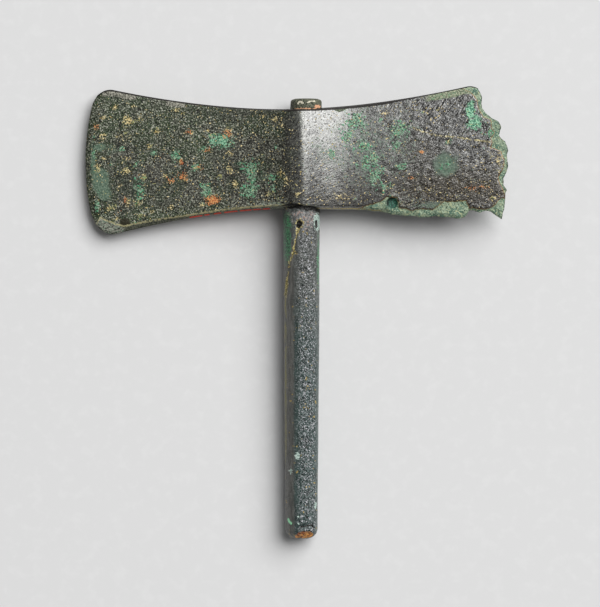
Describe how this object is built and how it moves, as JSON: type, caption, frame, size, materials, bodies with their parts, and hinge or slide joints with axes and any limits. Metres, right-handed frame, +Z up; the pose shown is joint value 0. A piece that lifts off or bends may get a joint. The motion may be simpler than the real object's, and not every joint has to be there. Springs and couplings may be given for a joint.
{
  "type": "double axe head",
  "caption": "Ancient double-bladed bronze axe head lying flat, one blade broken off raggedly, with a straight round haft stub in its socket.",
  "frame": {"origin": "on the table under the middle of the socket, on the narrow flat of the ridge's back", "axes": "+X along the broken blade, +Y along the socket towards the haft's short upper end, +Z up from the table"},
  "size_m": [0.1858, 0.199, 0.0219],
  "materials": {
    "bronze": "dark olive patina with green patches and tan crust",
    "coated_wood": "thick dark green-black coat, chipped to orange at the foot"
  },
  "bodies": {
    "root": {"axe_head": "bronze", "haft": "coated_wood"}
  },
  "joints": []
}
